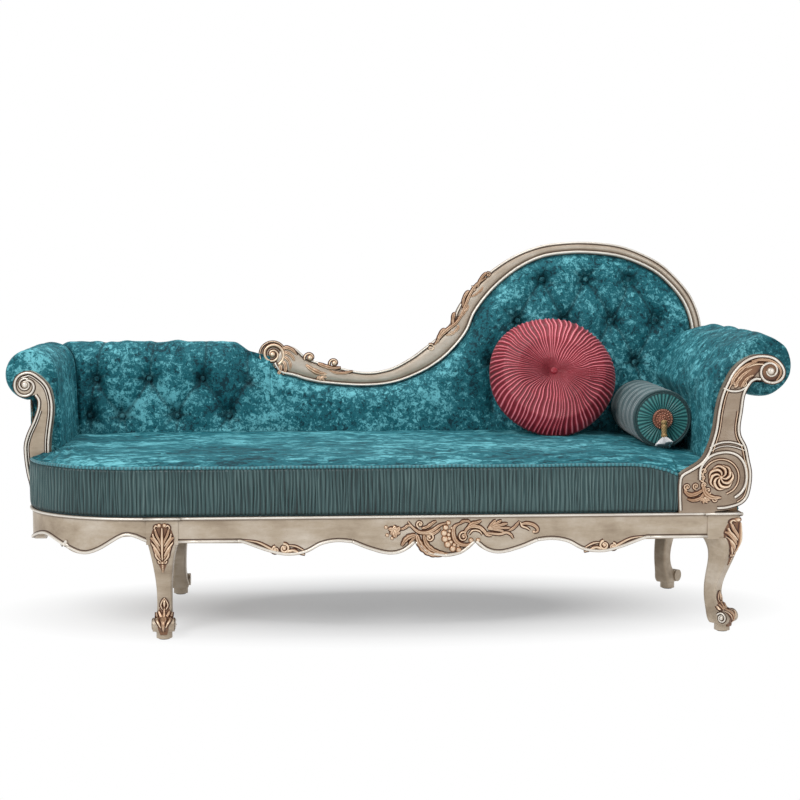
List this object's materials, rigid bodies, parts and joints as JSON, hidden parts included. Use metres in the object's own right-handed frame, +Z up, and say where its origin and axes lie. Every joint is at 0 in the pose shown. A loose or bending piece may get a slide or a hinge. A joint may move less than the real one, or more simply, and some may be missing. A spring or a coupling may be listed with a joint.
{
  "type": "fainting couch",
  "caption": "Carved fainting couch on cabriole legs with a raised buttoned back, a low back, two scrolled arms, a ruched seat band, a round cushion and a tasselled bolster.",
  "frame": {"origin": "middle of the bottom of the bounding box, on the floor under the couch", "axes": "+Z up, +X along the couch towards its high end, -Y towards the sitter's front"},
  "size_m": [2.014, 0.7092, 0.9975],
  "materials": {
    "champagne_wood": "champagne silver leaf over moulded wood, satin",
    "frame_wood": "plain sawn beech",
    "copper_carving": "gilt carving with a copper brown glaze in its hollows",
    "teal_velvet": "crushed velvet",
    "band_satin": "ruched satin",
    "teal_piping": "corded piping",
    "foam": "upholstery foam",
    "webbing": "woven jute webbing",
    "burlap": "burlap",
    "black_cloth": "black dust cloth",
    "zinc_steel": "zinc plated",
    "glide": "brown nylon",
    "crimson_satin": "pleated crimson velvet",
    "bolster_cloth": "grey green striped satin",
    "bolster_cord": "dark twisted piping",
    "copper_beads": "copper beaded rosette",
    "gold_thread": "gold thread",
    "silver_thread": "silver grey thread"
  },
  "bodies": {
    "root": {"apron_cartouche": "copper_carving", "apron_edge_moulding": "champagne_wood", "apron_scrolls": "copper_carving", "back_outer_cover": "teal_velvet", "back_stiles": "frame_wood", "back_webbing": "webbing", "corner_blocks": "frame_wood", "crest_flower_carving": "copper_carving", "crest_leaf_carving": "copper_carving", "crest_rail": "champagne_wood", "crest_volute_carving": "copper_carving", "dust_cover": "black_cloth", "foot_glides": "glide", "foot_leaf_carvings": "copper_carving", "frame_screws": "zinc_steel", "front_left_leg": "champagne_wood", "front_rail": "champagne_wood", "front_right_leg": "champagne_wood", "high_back_buttons": "teal_velvet", "high_back_pad": "teal_velvet", "knee_leaf_carvings": "copper_carving", "left_arm_frame": "frame_wood", "left_arm_outer_cover": "teal_velvet", "left_arm_pad": "teal_velvet", "left_arm_post": "champagne_wood", "left_corner_rail": "champagne_wood", "left_end_rail": "champagne_wood", "low_back_board": "frame_wood", "low_back_buttons": "teal_velvet", "low_back_pad": "teal_velvet", "rail_bead": "champagne_wood", "rear_left_leg": "champagne_wood", "rear_rail": "champagne_wood", "rear_right_leg": "champagne_wood", "right_arm_frame": "frame_wood", "right_arm_outer_cover": "teal_velvet", "right_arm_pad": "teal_velvet", "right_arm_post": "champagne_wood", "right_end_rail": "champagne_wood", "right_post_rosette": "copper_carving", "right_volute_carving": "copper_carving", "seat_border": "band_satin", "seat_bottom_piping": "teal_piping", "seat_burlap": "burlap", "seat_cover": "teal_velvet", "seat_cross_rails": "frame_wood", "seat_foam": "foam", "seat_top_piping": "teal_piping", "seat_webbing": "webbing"},
    "round_cushion": {"round_cushion": "crimson_satin", "round_cushion_buttons": "crimson_satin"},
    "bolster": {"bolster": "bolster_cloth", "bolster_piping": "bolster_cord", "bolster_rosettes": "copper_beads"},
    "tassel": {"tassel_neck": "gold_thread", "tassel_skirt": "silver_thread"}
  },
  "joints": [
    {"name": "round_cushion_lift", "type": "slide", "parent": "root", "child": "round_cushion", "axis": [0, -0.5, 0.866], "range_m": [0, 0.4]},
    {"name": "bolster_slide", "type": "slide", "parent": "root", "child": "bolster", "axis": [0, -1, 0], "range_m": [0, 0.2]},
    {"name": "tassel_swing", "type": "hinge", "parent": "bolster", "child": "tassel", "pos_m": [0.721, -0.11246, 0.52506], "axis": [0, 1, 0], "range_deg": [-25, 25]}
  ]
}
